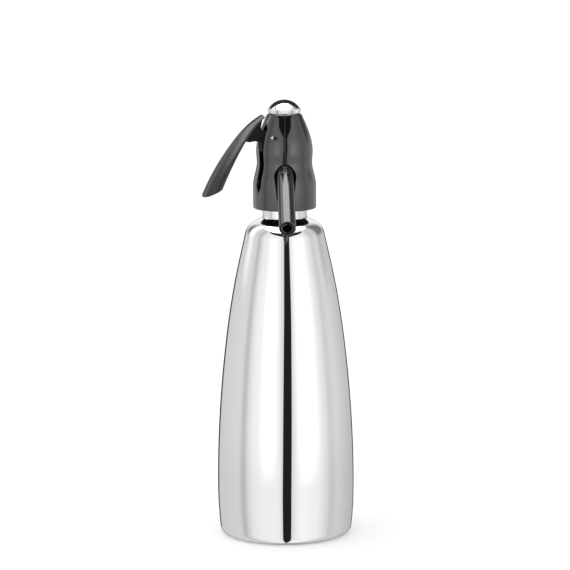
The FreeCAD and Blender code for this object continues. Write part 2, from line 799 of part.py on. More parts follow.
def make_relief_valve():
    disc = relief_bar(relief_radius - fit_clearance, relief_place, relief_place + relief_disc_height)
    save(disc, "relief_disc")

    # the plug's outer face sits just inside the body's round side
    plug_end = math.sqrt(body_radius ** 2 - relief_radius ** 2)
    plug_start = plug_end - relief_plug_length
    plug = relief_bar(relief_radius - fit_clearance, plug_start, plug_end)
    plug = plug.cut(relief_bar(relief_vent, plug_start - over, plug_end + over))
    save(plug, "relief_plug")

    spring_start = relief_place + relief_disc_height
    coil = relief_radius - 3 * relief_wire
    spring = coil_spring(coil, relief_wire, plug_start - spring_start, relief_turns)
    spring.rotate(CENTRE, Y_AXIS, 90)
    spring.translate(V(spring_start, 0, seat_z + relief_rise))
    save(turned(spring, relief_turn), "relief_spring")


def make_cap():
    nut_top = cover_top_z + nut_height
    nut = ring(nut_radius, nipple_radius + fit_clearance, cover_top_z, nut_top)
    notch_place = V(nut_radius - notch_depth, -notch_width / 2, cover_top_z + nut_height / 2)
    notch = Part.makeBox(nut_radius, notch_width, nut_height, notch_place)
    for azimuth in (45, 135, 225, 315):
        nut = nut.cut(turned(notch, azimuth))
    save(nut, "cover_nut")

    boss_z = dome_z + ring_boss_height
    knurled = cylinder(cap_radius, ring_z, dome_z).fuse(cylinder(ring_boss_radius, dome_z, boss_z))
    knurled = knurled.cut(cylinder(ring_skirt_bore, ring_z - over, dome_z - ring_web_drop))
    knurled = knurled.cut(cylinder(nipple_radius + running_clearance, ring_z, boss_z + over))
    grooves = []
    for step in range(knurl_count):
        x, y = polar(cap_radius + knurl_radius - knurl_depth, step * 360 / knurl_count)
        grooves.append(cylinder(knurl_radius, ring_z - over, dome_z + over, x, y))
    save(knurled.cut(grooves), "cap_knurled_ring")

    # a slice of a round shell
    ball_radius = (dome_radius ** 2 + dome_height ** 2) / (2 * dome_height)
    ball_centre = V(0, 0, dome_z + dome_height - ball_radius)
    dome = Part.makeSphere(ball_radius, ball_centre)
    dome = dome.cut(Part.makeSphere(ball_radius - dome_wall, ball_centre))
    save(dome.common(cylinder(dome_radius + over, dome_z, dome_z + dome_height + over)), "cap_dome")

    gasket = cylinder(nipple_radius - cap_gasket_margin, nipple_top_z, nipple_top_z + cap_gasket_height)
    save(gasket, "cap_gasket")


os.makedirs("parts", exist_ok=True)
make_bottle()
make_neck_gasket()
make_valve_body()
make_head_cover()
make_lever_pin()
make_lever()
make_spout()
make_valve()
make_tubes()
make_inlet()
make_relief_valve()
make_cap()
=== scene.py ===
import math

import bpy
from mathutils import Matrix, Vector


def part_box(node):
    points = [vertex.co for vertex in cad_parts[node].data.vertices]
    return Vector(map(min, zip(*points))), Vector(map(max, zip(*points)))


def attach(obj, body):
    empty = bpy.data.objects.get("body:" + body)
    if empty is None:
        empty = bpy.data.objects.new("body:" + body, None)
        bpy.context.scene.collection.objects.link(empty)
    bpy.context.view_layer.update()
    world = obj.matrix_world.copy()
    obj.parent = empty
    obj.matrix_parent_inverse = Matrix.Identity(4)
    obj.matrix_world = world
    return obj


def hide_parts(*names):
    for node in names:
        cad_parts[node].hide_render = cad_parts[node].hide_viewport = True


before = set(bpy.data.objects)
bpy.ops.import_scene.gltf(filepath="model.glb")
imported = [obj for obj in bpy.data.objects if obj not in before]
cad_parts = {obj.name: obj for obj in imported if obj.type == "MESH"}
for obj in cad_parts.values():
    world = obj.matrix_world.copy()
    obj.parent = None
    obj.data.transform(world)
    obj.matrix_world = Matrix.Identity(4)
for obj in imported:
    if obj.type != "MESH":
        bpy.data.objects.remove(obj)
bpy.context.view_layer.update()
print("frame loaded,", len(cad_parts), "parts")

scene = bpy.context.scene
scene.view_settings.view_transform = "Standard"
bpy.ops.object.select_all(action="DESELECT")


def hexColour(text):
    # sRGB hex to the linear colour that shaders take
    channels = [int(text[i:i + 2], 16) / 255 for i in (1, 3, 5)]
    linear = [c / 12.92 if c <= 0.04045 else ((c + 0.055) / 1.055) ** 2.4 for c in channels]
    return (*linear, 1.0)


def addNode(tree, kind, inputs=None, **settings):
    # inputs go by name or number; a Map Range takes 1 and 2 as its range in, 3 and 4 as its range out
    node = tree.nodes.new(kind)
    for name, value in settings.items():
        setattr(node, name, value)
    for key, value in (inputs or {}).items():
        if isinstance(value, bpy.types.NodeSocket):
            tree.links.new(value, node.inputs[key])
        else:
            node.inputs[key].default_value = value
    return node


def setRamp(node, stops):
    ramp = node.color_ramp
    while len(ramp.elements) > 1:
        ramp.elements.remove(ramp.elements[-1])
    for number, (place, grey) in enumerate(stops):
        element = ramp.elements[0] if number == 0 else ramp.elements.new(place)
        element.position = place
        element.color = (grey, grey, grey, 1)


def newMaterial(name, colour, metallic, roughness):
    material = bpy.data.materials.new(name)
    material.use_nodes = True
    shader = material.node_tree.nodes["Principled BSDF"]
    shader.inputs["Base Color"].default_value = hexColour(colour)
    shader.inputs["Metallic"].default_value = metallic
    shader.inputs["Roughness"].default_value = roughness
    return material, material.node_tree, shader


# camera: a long lens, a little above the siphon
cameraSetup = {
    "distance": 2.464,      # metres
    "height": 0.600,
    "azimuth": -1.5,        # degrees, towards -X
    "aimHeight": 0.1956,
    "lens": 203.6,
    "roll": 0.25,           # degrees
}


def addCamera(setup):
    turn = math.radians(setup["azimuth"])
    distance = setup["distance"]
    place = Vector((distance * math.sin(turn), -distance * math.cos(turn), setup["height"]))
    bpy.ops.object.camera_add(location=place)
    camera = bpy.context.object
    camera.name = "studioCamera"
    look = Vector((0, 0, setup["aimHeight"])) - place
    roll = Matrix.Rotation(math.radians(-setup["roll"]), 3, "Z")
    camera.rotation_euler = (look.to_track_quat("-Z", "Y").to_matrix() @ roll).to_euler()
    camera.data.lens = setup["lens"]
    camera.data.clip_end = 50
    scene.camera = camera


# studio: what polished faces see is painted on the world, and plain soft light falls on the rest
studio = {
    "softLight": 1.0,
    "softLean": -0.18,      # soft light from the left is stronger by this share
    "sideBox": 1.62,        # brightness of the boxes beside the camera
    "topBox": 1.9,
    "panel": 5.8,
    "panelLeft": 0.07,      # the panel overhead stands a little left of the middle
    # brightness at an azimuth, in degrees from the camera's side, and how much more the middle glows
    "sides": [(-180, 0.3), (-146, 0.57), (-123, 0.645), (-94, 0.69), (-86, 0.66), (-82, 0.53), (-76, 0.53),
              (-71, 0.68), (-62, 0.84), (-52, 0.89), (-42, 0.935), (-25, 0.95), (-14, 0.92), (-6, 0.74),
              (11, 0.79), (16, 0.91), (22, 0.98), (30, 1.0), (44, 0.96), (54, 0.935), (63, 0.84), (74, 0.716),
              (80, 0.61), (86, 0.62), (97, 0.667), (104, 0.64), (120, 0.57), (140, 0.48), (180, 0.3)],
    "glow": [(-180, 0.05), (-48, 0.1), (-38, 0.4), (-28, 0.4), (-14, 0.06), (-6, 0.0), (14, 0.0), (22, 0.15),
             (30, 0.5), (36, 0.6), (44, 0.45), (54, 0.2), (64, 0.1), (180, 0.1)],
    "backLeft": 2.0,        # how much lighter the box behind on the left is, and how much darker the rest
    "backRight": 0.35,
    "wall": 1.3,
    "strip": 0.04,          # what is left of the light in the strip behind, near the floor
    "gapHalf": (0.13, 1.18),    # half the dark gap between the boxes, in radians, below and above
    "gapShift": (0.4, 3.7),     # degrees that the gap stands right of the middle, below and above
    "gapSoft": 0.012,
    "gapLevel": 0.02,
    # where each part starts and is whole, as the x, y or z of the direction that is looked in
    "edges": {
        "gapOpens": (0.40, 0.80),
        "gapLeans": (-0.23, 0.14),
        "glowStarts": (-0.21, -0.13),
        "glowEnds": (0.15, 0.40),
        "backHeight": (0.03, 0.2),
        "backDepth": (0.15, 0.4),
        "backSide": (-0.45, -0.25),
        "backBoxEnd": (0.55, 0.65),
        "strip": (0.89, 0.93),
        "wallHeight": (-0.02, 0.10),
        "wallDepth": (0.35, 0.60),
        "wallSide": (0.32, 0.55),
        "overhead": (0.76, 0.82),
        "panelDepth": (0.44, 0.54),
        "panelSide": (0.40, 0.46),
    },
    # a dark flag behind the cap: place, width and height, and glow
    "flag": ((0, 0.035, 0.394), (0.14, 0.102), 0.05),
    "floor": "#F2F2F2",
    "floorGlow": 0.2,
}


def span(setup, edge, start=0.0, end=1.0):
    # numbers for a Map Range that goes from one level to another over an edge of the studio
    low, high = setup["edges"][edge]
    return {1: low, 2: high, 3: start, 4: end}


def paintSides(tree, setup, x, y, z):
    # brightness round the siphon, by azimuth
    forward = addNode(tree, "ShaderNodeMath", {0: y, 1: -1.0}, operation="MULTIPLY")
    azimuth = addNode(tree, "ShaderNodeMath", {0: x, 1: forward.outputs[0]}, operation="ARCTAN2")
    place = addNode(tree, "ShaderNodeMath", {0: azimuth.outputs[0], 1: 1 / (2 * math.pi), 2: 0.5},
                    operation="MULTIPLY_ADD")
    sides = addNode(tree, "ShaderNodeValToRGB", {0: place.outputs[0]})
    setRamp(sides, [(degrees / 360 + 0.5, level) for degrees, level in setup["sides"]])

    # the dark gap towards the camera, narrow below and wide above
    narrow, wide = setup["gapHalf"]
    half = addNode(tree, "ShaderNodeMapRange", {0: z, **span(setup, "gapOpens", narrow, wide)},
                   interpolation_type="SMOOTHSTEP")
    shiftLow, shiftHigh = [math.radians(shift) for shift in setup["gapShift"]]
    shift = addNode(tree, "ShaderNodeMapRange", {0: z, **span(setup, "gapLeans", shiftLow, shiftHigh)})
    off = addNode(tree, "ShaderNodeMath", {0: azimuth.outputs[0], 1: shift.outputs[0]}, operation="SUBTRACT")
    off = addNode(tree, "ShaderNodeMath", {0: off.outputs[0]}, operation="ABSOLUTE")
    beyond = addNode(tree, "ShaderNodeMath", {0: off.outputs[0], 1: half.outputs[0]}, operation="SUBTRACT")
    gap = addNode(tree, "ShaderNodeMapRange", {0: beyond.outputs[0], 1: -setup["gapSoft"],
                                               2: setup["gapSoft"], 3: setup["gapLevel"], 4: 1.0},
                  interpolation_type="SMOOTHSTEP")
    level = addNode(tree, "ShaderNodeMath", {0: sides.outputs[0], 1: gap.outputs[0]}, operation="MULTIPLY")
    level = addNode(tree, "ShaderNodeMath", {0: level.outputs[0], 1: setup["sideBox"]}, operation="MULTIPLY")

    # the middle of both boxes glows more, but for their lower and upper edges
    glow = addNode(tree, "ShaderNodeValToRGB", {0: place.outputs[0]})
    setRamp(glow, [(degrees / 360 + 0.5, level) for degrees, level in setup["glow"]])
    starts = addNode(tree, "ShaderNodeMapRange", {0: z, **span(setup, "glowStarts")})
    ends = addNode(tree, "ShaderNodeMapRange", {0: z, **span(setup, "glowEnds", 1.0, 0.0)})
    more = addNode(tree, "ShaderNodeMath", {0: starts.outputs[0], 1: ends.outputs[0]}, operation="MULTIPLY")
    more = addNode(tree, "ShaderNodeMath", {0: more.outputs[0], 1: glow.outputs[0], 2: 1.0},
                   operation="MULTIPLY_ADD")
    level = addNode(tree, "ShaderNodeMath", {0: level.outputs[0], 1: more.outputs[0]}, operation="MULTIPLY")
    return level.outputs[0]


def paintBack(tree, setup, x, y, z, front):
    # behind, the room is dark on the right, and a box stands on the left
    above = addNode(tree, "ShaderNodeMapRange", {0: z, **span(setup, "backHeight")})
    behind = addNode(tree, "ShaderNodeMapRange", {0: y, **span(setup, "backDepth")})
    behind = addNode(tree, "ShaderNodeMath", {0: above.outputs[0], 1: behind.outputs[0]},
                     operation="MULTIPLY")
    across = addNode(tree, "ShaderNodeMapRange",
                     {0: x, **span(setup, "backSide", setup["backLeft"], setup["backRight"])})
    boxEnd = addNode(tree, "ShaderNodeMapRange", {0: y, **span(setup, "backBoxEnd")})
    across = addNode(tree, "ShaderNodeMix",
                     {0: boxEnd.outputs[0], 2: across.outputs[0], 3: setup["backRight"]}, data_type="FLOAT")
    change = addNode(tree, "ShaderNodeMath", {0: across.outputs[0], 1: -1.0}, operation="ADD")
    change = addNode(tree, "ShaderNodeMath", {0: change.outputs[0], 1: behind.outputs[0], 2: 1.0},
                     operation="MULTIPLY_ADD")
    level = addNode(tree, "ShaderNodeMath", {0: front, 1: change.outputs[0]}, operation="MULTIPLY")

    # a dark strip near the floor, and a light wall above it
    strip = addNode(tree, "ShaderNodeMapRange", {0: y, **span(setup, "strip", 1.0, setup["strip"])})
    level = addNode(tree, "ShaderNodeMath", {0: level.outputs[0], 1: strip.outputs[0]}, operation="MULTIPLY")
    aside = addNode(tree, "ShaderNodeMath", {0: x}, operation="ABSOLUTE")
    high = addNode(tree, "ShaderNodeMapRange", {0: z, **span(setup, "wallHeight")})
    deep = addNode(tree, "ShaderNodeMapRange", {0: y, **span(setup, "wallDepth")})
    middle = addNode(tree, "ShaderNodeMapRange", {0: aside.outputs[0], **span(setup, "wallSide", 1.0, 0.0)})
    wall = addNode(tree, "ShaderNodeMath", {0: high.outputs[0], 1: deep.outputs[0]}, operation="MULTIPLY")
    wall = addNode(tree, "ShaderNodeMath", {0: wall.outputs[0], 1: middle.outputs[0]}, operation="MULTIPLY")
    walled = addNode(tree, "ShaderNodeMix", {0: wall.outputs[0], 2: level.outputs[0], 3: setup["wall"]},
                     data_type="FLOAT")
    return walled.outputs[0]


def paintTop(tree, setup, x, y, z, below):
    # a box overhead, with a brighter panel in it that lies along the spout
    overhead = addNode(tree, "ShaderNodeMapRange", {0: z, **span(setup, "overhead")})
    deep = addNode(tree, "ShaderNodeMapRange", {0: y, **span(setup, "panelDepth", 1.0, 0.0)})
    off = addNode(tree, "ShaderNodeMath", {0: x, 1: setup["panelLeft"]}, operation="ADD")
    off = addNode(tree, "ShaderNodeMath", {0: off.outputs[0]}, operation="ABSOLUTE")
    wide = addNode(tree, "ShaderNodeMapRange", {0: off.outputs[0], **span(setup, "panelSide", 1.0, 0.0)})
    panel = addNode(tree, "ShaderNodeMath", {0: deep.outputs[0], 1: wide.outputs[0]}, operation="MULTIPLY")
    top = addNode(tree, "ShaderNodeMath", {0: panel.outputs[0], 1: setup["panel"] - setup["topBox"],
                                           2: setup["topBox"]}, operation="MULTIPLY_ADD")
    seen = addNode(tree, "ShaderNodeMix", {0: overhead.outputs[0], 2: below, 3: top.outputs[0]},
                   data_type="FLOAT")
    return seen.outputs[0]


def buildWorld(setup):
    world = bpy.data.worlds.new("studioWorld")
    scene.world = world
    world.use_nodes = True
    tree = world.node_tree
    tree.nodes.clear()
    way = addNode(tree, "ShaderNodeTexCoord")
    x, y, z = addNode(tree, "ShaderNodeSeparateXYZ", {0: way.outputs["Generated"]}).outputs
    front = paintSides(tree, setup, x, y, z)
    around = paintBack(tree, setup, x, y, z, front)
    seen = paintTop(tree, setup, x, y, z, around)

    # soft light from all round
    soft = addNode(tree, "ShaderNodeMath", {0: x, 1: setup["softLean"], 2: 1.0}, operation="MULTIPLY_ADD")
    soft = addNode(tree, "ShaderNodeMath", {0: soft.outputs[0], 1: setup["softLight"]}, operation="MULTIPLY")

    # polished faces see the boxes, the camera sees white, and all else gets the soft light
    ray = addNode(tree, "ShaderNodeLightPath")
    level = addNode(tree, "ShaderNodeMix", {0: ray.outputs["Is Glossy Ray"], 2: soft.outputs[0], 3: seen},
                    data_type="FLOAT")
    level = addNode(tree, "ShaderNodeMix", {0: ray.outputs["Is Camera Ray"], 2: level.outputs[0], 3: 1.0},
                    data_type="FLOAT")
    background = addNode(tree, "ShaderNodeBackground", {"Color": (1, 1, 1, 1), "Strength": level.outputs[0]})
    addNode(tree, "ShaderNodeOutputWorld", {0: background.outputs[0]})


def buildFloor(setup):
    # pale and matte; it glows a little for the camera, and polished faces see the world through it
    bpy.ops.mesh.primitive_plane_add(size=16, location=(0, 0, 0))
    floor = bpy.context.object
    floor.name = "studioFloor"
    material = bpy.data.materials.new("matteFloor")
    material.use_nodes = True
    tree = material.node_tree
    tree.nodes.clear()
    matte = addNode(tree, "ShaderNodeBsdfDiffuse", {"Color": hexColour(setup["floor"])})
    glow = addNode(tree, "ShaderNodeEmission", {"Color": (1, 1, 1, 1), "Strength": setup["floorGlow"]})
    lit = addNode(tree, "ShaderNodeAddShader", {0: matte.outputs[0], 1: glow.outputs[0]})
    clear = addNode(tree, "ShaderNodeBsdfTransparent")
    ray = addNode(tree, "ShaderNodeLightPath")
    plain = addNode(tree, "ShaderNodeMixShader", {0: ray.outputs["Is Camera Ray"], 1: matte.outputs[0],
                                                  2: lit.outputs[0]})
    shown = addNode(tree, "ShaderNodeMixShader", {0: ray.outputs["Is Glossy Ray"], 1: plain.outputs[0],
                                                  2: clear.outputs[0]})
    addNode(tree, "ShaderNodeOutputMaterial", {0: shown.outputs[0]})
    floor.data.materials.append(material)


def buildFlag(setup):
    # an upright card that only polished faces see
    place, size, glow = setup["flag"]
    bpy.ops.mesh.primitive_plane_add(size=1, location=place, rotation=(math.radians(90), 0, 0))
    flag = bpy.context.object
    flag.name = "blackFlag"
    flag.scale = (*size, 1)
    material = bpy.data.materials.new("flockedCard")
    material.use_nodes = True
    tree = material.node_tree
    tree.nodes.clear()
    ray = addNode(tree, "ShaderNodeLightPath")
    clear = addNode(tree, "ShaderNodeBsdfTransparent")
    face = addNode(tree, "ShaderNodeEmission", {"Color": (1, 1, 1, 1), "Strength": glow})
    shown = addNode(tree, "ShaderNodeMixShader", {0: ray.outputs["Is Glossy Ray"], 1: clear.outputs[0],
                                                  2: face.outputs[0]})
    addNode(tree, "ShaderNodeOutputMaterial", {0: shown.outputs[0]})
    flag.data.materials.append(material)


addCamera(cameraSetup)
buildWorld(studio)
buildFloor(studio)
buildFlag(studio)
print("camera and studio ready")


def makePolishedSteel():
    # pressed stainless steel, buffed to a mirror: crisp reflections, cloudy patches of about 35 mm in the
    # polish, and faint lap lines round the body, 0.7 mm apart so that they show
    material, tree, shader = newMaterial("buffedSteel", "#C6C6C5", 1.0, 0.03)
    place = addNode(tree, "ShaderNodeTexCoord").outputs["Object"]
    smear = addNode(tree, "ShaderNodeTexNoise", {"Vector": place, "Scale": 28.0, "Detail": 3.0})
    rough = addNode(tree, "ShaderNodeMapRange", {0: smear.outputs[0], 1: 0.35, 2: 0.75, 3: 0.022, 4: 0.05})
    tree.links.new(rough.outputs[0], shader.inputs["Roughness"])
    lap = addNode(tree, "ShaderNodeMapping", {"Vector": place, "Scale": (30.0, 30.0, 1500.0)})
    lines = addNode(tree, "ShaderNodeTexNoise", {"Vector": lap.outputs[0], "Scale": 1.0, "Detail": 2.0})
    bump = addNode(tree, "ShaderNodeBump", {"Strength": 0.03, "Distance": 0.00005,
                                            "Height": lines.outputs[0]})
    tree.links.new(bump.outputs[0], shader.inputs["Normal"])
    return material


def makeBlackPlastic(name, roughness, shine, seam):
    # moulded ABS: deep black, highlights with soft edges, flow marks of about 17 mm and a trace of orange
    # peel, 1.4 mm from bump to bump
    material, tree, shader = newMaterial(name, "#111112", 0.0, roughness)
    shader.inputs["Specular IOR Level"].default_value = shine
    place = addNode(tree, "ShaderNodeTexCoord").outputs["Object"]
    flow = addNode(tree, "ShaderNodeTexNoise", {"Vector": place, "Scale": 60.0, "Detail": 4.0})
    rough = addNode(tree, "ShaderNodeMapRange", {0: flow.outputs[0], 1: 0.3, 2: 0.7,
                                                 3: 0.9 * roughness, 4: 1.2 * roughness})
    tree.links.new(rough.outputs[0], shader.inputs["Roughness"])
    peel = addNode(tree, "ShaderNodeTexNoise", {"Vector": place, "Scale": 700.0, "Detail": 2.0})
    bump = addNode(tree, "ShaderNodeBump", {"Strength": 0.05, "Distance": 0.0001, "Height": peel.outputs[0]})
    if seam:
        # the tool's parting line, about 0.3 mm wide, in the plane of the spout
        axes = addNode(tree, "ShaderNodeSeparateXYZ", {0: place})
        aside = addNode(tree, "ShaderNodeMath", {0: axes.outputs[0]}, operation="ABSOLUTE")
        ridge = addNode(tree, "ShaderNodeMapRange", {0: aside.outputs[0], 1: 0.00008, 2: 0.00022,
                                                     3: 1.0, 4: 0.0}, interpolation_type="SMOOTHSTEP")
        bump = addNode(tree, "ShaderNodeBump", {"Strength": 0.6, "Distance": 0.0001,
                                                "Height": ridge.outputs[0], "Normal": bump.outputs[0]})
    tree.links.new(bump.outputs[0], shader.inputs["Normal"])
    return material


def makeMattePlastic():
    # the same black ABS made a little darker and with little shine: rough, with an even grain of 0.45 mm
    material, tree, shader = newMaterial("grainedAbs", "#0E0E0F", 0.0, 0.55)
    shader.inputs["Specular IOR Level"].default_value = 0.12
    place = addNode(tree, "ShaderNodeTexCoord").outputs["Object"]
    grain = addNode(tree, "ShaderNodeTexNoise", {"Vector": place, "Scale": 2200.0, "Detail": 3.0})
    bump = addNode(tree, "ShaderNodeBump", {"Strength": 0.35, "Distance": 0.00006,
                                            "Height": grain.outputs[0]})
    tree.links.new(bump.outputs[0], shader.inputs["Normal"])
    return material


def makeChrome():
    # bright nickel-chrome plate on turned brass: a mirror with a breath of haze in patches of 8 mm
    material, tree, shader = newMaterial("chromePlate", "#C2C3C4", 1.0, 0.04)
    place = addNode(tree, "ShaderNodeTexCoord").outputs["Object"]
    haze = addNode(tree, "ShaderNodeTexNoise", {"Vector": place, "Scale": 120.0, "Detail": 3.0})
    rough = addNode(tree, "ShaderNodeMapRange", {0: haze.outputs[0], 1: 0.3, 2: 0.7, 3: 0.03, 4: 0.08})
    tree.links.new(rough.outputs[0], shader.inputs["Roughness"])
    return material


def makeRibbedPlate():
    # the same plate on a knurled rim, dulled by handling in patches of 2.5 mm
    material, tree, shader = newMaterial("satinChrome", "#BEBFC0", 1.0, 0.2)
    place = addNode(tree, "ShaderNodeTexCoord").outputs["Object"]
    haze = addNode(tree, "ShaderNodeTexNoise", {"Vector": place, "Scale": 400.0, "Detail": 3.0})
    rough = addNode(tree, "ShaderNodeMapRange", {0: haze.outputs[0], 1: 0.3, 2: 0.7, 3: 0.16, 4: 0.26})
    tree.links.new(rough.outputs[0], shader.inputs["Roughness"])
    return material


def makeTurnedMetal(name, colour, roughness):
    # lathe-turned face: a soft shine broken by a grain of 1.1 mm, coarser than feed marks so that it shows
    material, tree, shader = newMaterial(name, colour, 1.0, roughness)
    place = addNode(tree, "ShaderNodeTexCoord").outputs["Object"]
    feed = addNode(tree, "ShaderNodeTexNoise", {"Vector": place, "Scale": 900.0, "Detail": 2.0})
    rough = addNode(tree, "ShaderNodeMapRange", {0: feed.outputs[0], 1: 0.3, 2: 0.7,
                                                 3: roughness * 0.8, 4: roughness * 1.3})
    tree.links.new(rough.outputs[0], shader.inputs["Roughness"])
    bump = addNode(tree, "ShaderNodeBump", {"Strength": 0.15, "Distance": 0.00005, "Height": feed.outputs[0]})
    tree.links.new(bump.outputs[0], shader.inputs["Normal"])
    return material


def makeSoftMaterial(name, colour, roughness, grain):
    # moulded rubber, acetal or drawn tube: matte, with a grain of about 1 mm
    material, tree, shader = newMaterial(name, colour, 0.0, roughness)
    place = addNode(tree, "ShaderNodeTexCoord").outputs["Object"]
    speck = addNode(tree, "ShaderNodeTexNoise", {"Vector": place, "Scale": grain, "Detail": 3.0})
    bump = addNode(tree, "ShaderNodeBump", {"Strength": 0.2, "Distance": 0.00008, "Height": speck.outputs[0]})
    tree.links.new(bump.outputs[0], shader.inputs["Normal"])
    return material


steel = makePolishedSteel()
headPlastic = makeBlackPlastic("glossAbsWithSeam", 0.08, 0.8, True)
blackPlastic = makeBlackPlastic("glossAbs", 0.08, 0.65, False)
satinPlastic = makeBlackPlastic("satinAbs", 0.3, 0.5, False)
mattePlastic = makeMattePlastic()
chrome = makeChrome()
ribbedChrome = makeRibbedPlate()
turnedSteel = makeTurnedMetal("turnedSteel", "#B9BABB", 0.22)
springSteel = makeTurnedMetal("springSteel", "#A6A6A4", 0.3)
turnedBrass = makeTurnedMetal("turnedBrass", "#C8AC6A", 0.25)
sealRubber = makeSoftMaterial("nitrileRubber", "#17181A", 0.6, 1200.0)
greyAcetal = makeSoftMaterial("greyAcetal", "#8C8E90", 0.42, 900.0)
whiteTube = makeSoftMaterial("polyTube", "#DCDCD6", 0.4, 700.0)

nodeFinish = {
    "bottle": steel,
    "neck_ring": steel,
    "neck_gasket": sealRubber,
    "valve_body": mattePlastic,
    "head_cover": headPlastic,
    "lever_pin": turnedSteel,
    "lever": blackPlastic,
    "spout_tube": blackPlastic,
    "spout_seal": sealRubber,
    "valve_stem": turnedSteel,
    "valve_disc": sealRubber,
    "stem_gland": greyAcetal,
    "stem_oring": sealRubber,
    "valve_plug": greyAcetal,
    "valve_spring": springSteel,
    "riser_tube": whiteTube,
    "riser_seal": sealRubber,
    "measuring_tube": whiteTube,
    "inlet_nipple": chrome,
    "piercing_pin": turnedSteel,
    "charge_gasket": sealRubber,
    "check_valve": sealRubber,
    "relief_disc": sealRubber,
    "relief_plug": turnedBrass,
    "relief_spring": springSteel,
    "cover_nut": turnedSteel,
    "cap_knurled_ring": chrome,
    "cap_dome": chrome,
    "cap_gasket": sealRubber,
}
for nodeName, finish in nodeFinish.items():
    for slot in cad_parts[nodeName].material_slots:
        slot.material = finish
print("materials set on", len(nodeFinish), "parts")


def smoothRun(places, startWay, endWay, steps):
    # a curve with an even bend through a few places; an end with no direction goes on bending as it did
    points = [Vector(place) for place in places]
    gaps = [(b - a).length for a, b in zip(points, points[1:])]
    slopes = [(b - a) / gap for a, b, gap in zip(points, points[1:], gaps)]
    ways = slopes + [slopes[-1]]
    if startWay is None:
        ways[0] = slopes[0] + (slopes[0] - slopes[1]) * gaps[0] / (gaps[0] + gaps[1])
    else:
        ways[0] = Vector(startWay).normalized()
    if endWay is None:
        ways[-1] = slopes[-1] + (slopes[-1] - slopes[-2]) * gaps[-1] / (gaps[-1] + gaps[-2])
    else:
        ways[-1] = Vector(endWay).normalized()
    for sweep in range(40):     # the directions between the ends settle on an even bend
        for i in range(1, len(points) - 1):
            before, after = gaps[i - 1], gaps[i]
            pull = slopes[i] * before + slopes[i - 1] * after
            ways[i] = (3 * pull - ways[i - 1] * after - ways[i + 1] * before) / (2 * (before + after))
    run = []
    for i, gap in enumerate(gaps):
        a, b = points[i], points[i + 1]
        for step in range(steps):
            t = step / steps
            run.append(a * (1 - t) ** 3 + (a + ways[i] * gap / 3) * 3 * t * (1 - t) ** 2
                       + (b - ways[i + 1] * gap / 3) * 3 * t * t * (1 - t) + b * t ** 3)
    return run + [points[-1]]


def arcRun(centre, radius, start, end, steps):
    # places along an arc, from one angle to another in degrees
    angles = [math.radians(start + (end - start) * step / steps) for step in range(steps + 1)]
    return [Vector((centre[0] + radius * math.cos(a), centre[1] + radius * math.sin(a))) for a in angles]


def bendRun(start, corner, end):
    # places on a soft bend that is drawn towards a corner
    a, b, c = Vector(start), Vector(corner), Vector(end)
    return [a * (1 - t) ** 2 + b * 2 * t * (1 - t) + c * t * t for t in (0, 0.2, 0.4, 0.6, 0.8, 1)]


def ringRun(radius, count):
    # corners of a closed circle round zero
    return arcRun((0, 0), radius, 0, 360 * (count - 1) / count, count - 1)


def addLoop(name, places):
    # a circle whose corners are moved to an outline, given in millimetres
    bpy.ops.object.select_all(action="DESELECT")
    bpy.ops.mesh.primitive_circle_add(vertices=len(places), radius=0.01)
    piece = bpy.context.object
    piece.name = name
    for corner, place in zip(piece.data.vertices, places):
        corner.co = Vector(place) / 1000
    return piece


def closeMesh(angle):
    # in edit mode: weld, point the faces outwards, then shade by angle
    bpy.ops.mesh.select_all(action="SELECT")
    bpy.ops.mesh.remove_doubles(threshold=0.000002)
    bpy.ops.mesh.delete_loose()
    bpy.ops.mesh.select_all(action="SELECT")
    bpy.ops.mesh.normals_make_consistent(inside=False)
    bpy.ops.object.mode_set(mode="OBJECT")
    bpy.ops.object.shade_smooth_by_angle(angle=math.radians(angle))


def turnLoop(name, places, centre=(0, 0, 0), axis=(0, 0, 1), steps=160, angle=30):
    # a closed outline turned about an axis
    piece = addLoop(name, places)
    bpy.ops.object.mode_set(mode="EDIT")
    bpy.ops.mesh.select_all(action="SELECT")
    bpy.ops.mesh.spin(steps=steps, angle=2 * math.pi, center=centre, axis=axis)
    closeMesh(angle)
    return piece


def extrudeLoop(name, places, way, angle=30):
    # a closed outline filled and drawn out, both in millimetres
    piece = addLoop(name, places)
    bpy.ops.object.mode_set(mode="EDIT")
    bpy.ops.mesh.select_all(action="SELECT")
    bpy.ops.mesh.edge_face_add()
    bpy.ops.mesh.extrude_region_move(TRANSFORM_OT_translate={"value": Vector(way) / 1000})
    closeMesh(angle)
    return piece


def applyModifier(piece, kind, **settings):
    bpy.ops.object.select_all(action="DESELECT")
    piece.select_set(True)
    bpy.context.view_layer.objects.active = piece
    modifier = piece.modifiers.new(kind.lower(), kind)
    for name, value in settings.items():
        setattr(modifier, name, value)
    bpy.ops.object.modifier_apply(modifier=modifier.name)


def addTo(piece, parts):
    # union of the piece with each part
    for part in parts:
        applyModifier(piece, "BOOLEAN", object=part, operation="UNION", solver="EXACT")
        bpy.data.objects.remove(part)


def cutAway(piece, cutters):
    for cutter in cutters:
        applyModifier(piece, "BOOLEAN", object=cutter, operation="DIFFERENCE", solver="EXACT")
        bpy.data.objects.remove(cutter)


def finishPiece(piece, material, body, slot, *nodes):
    piece.data.materials.clear()
    piece.data.materials.append(material)
    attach(piece, body)
    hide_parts(*nodes)
    print(piece.name, "made,", len(piece.data.polygons), "faces")


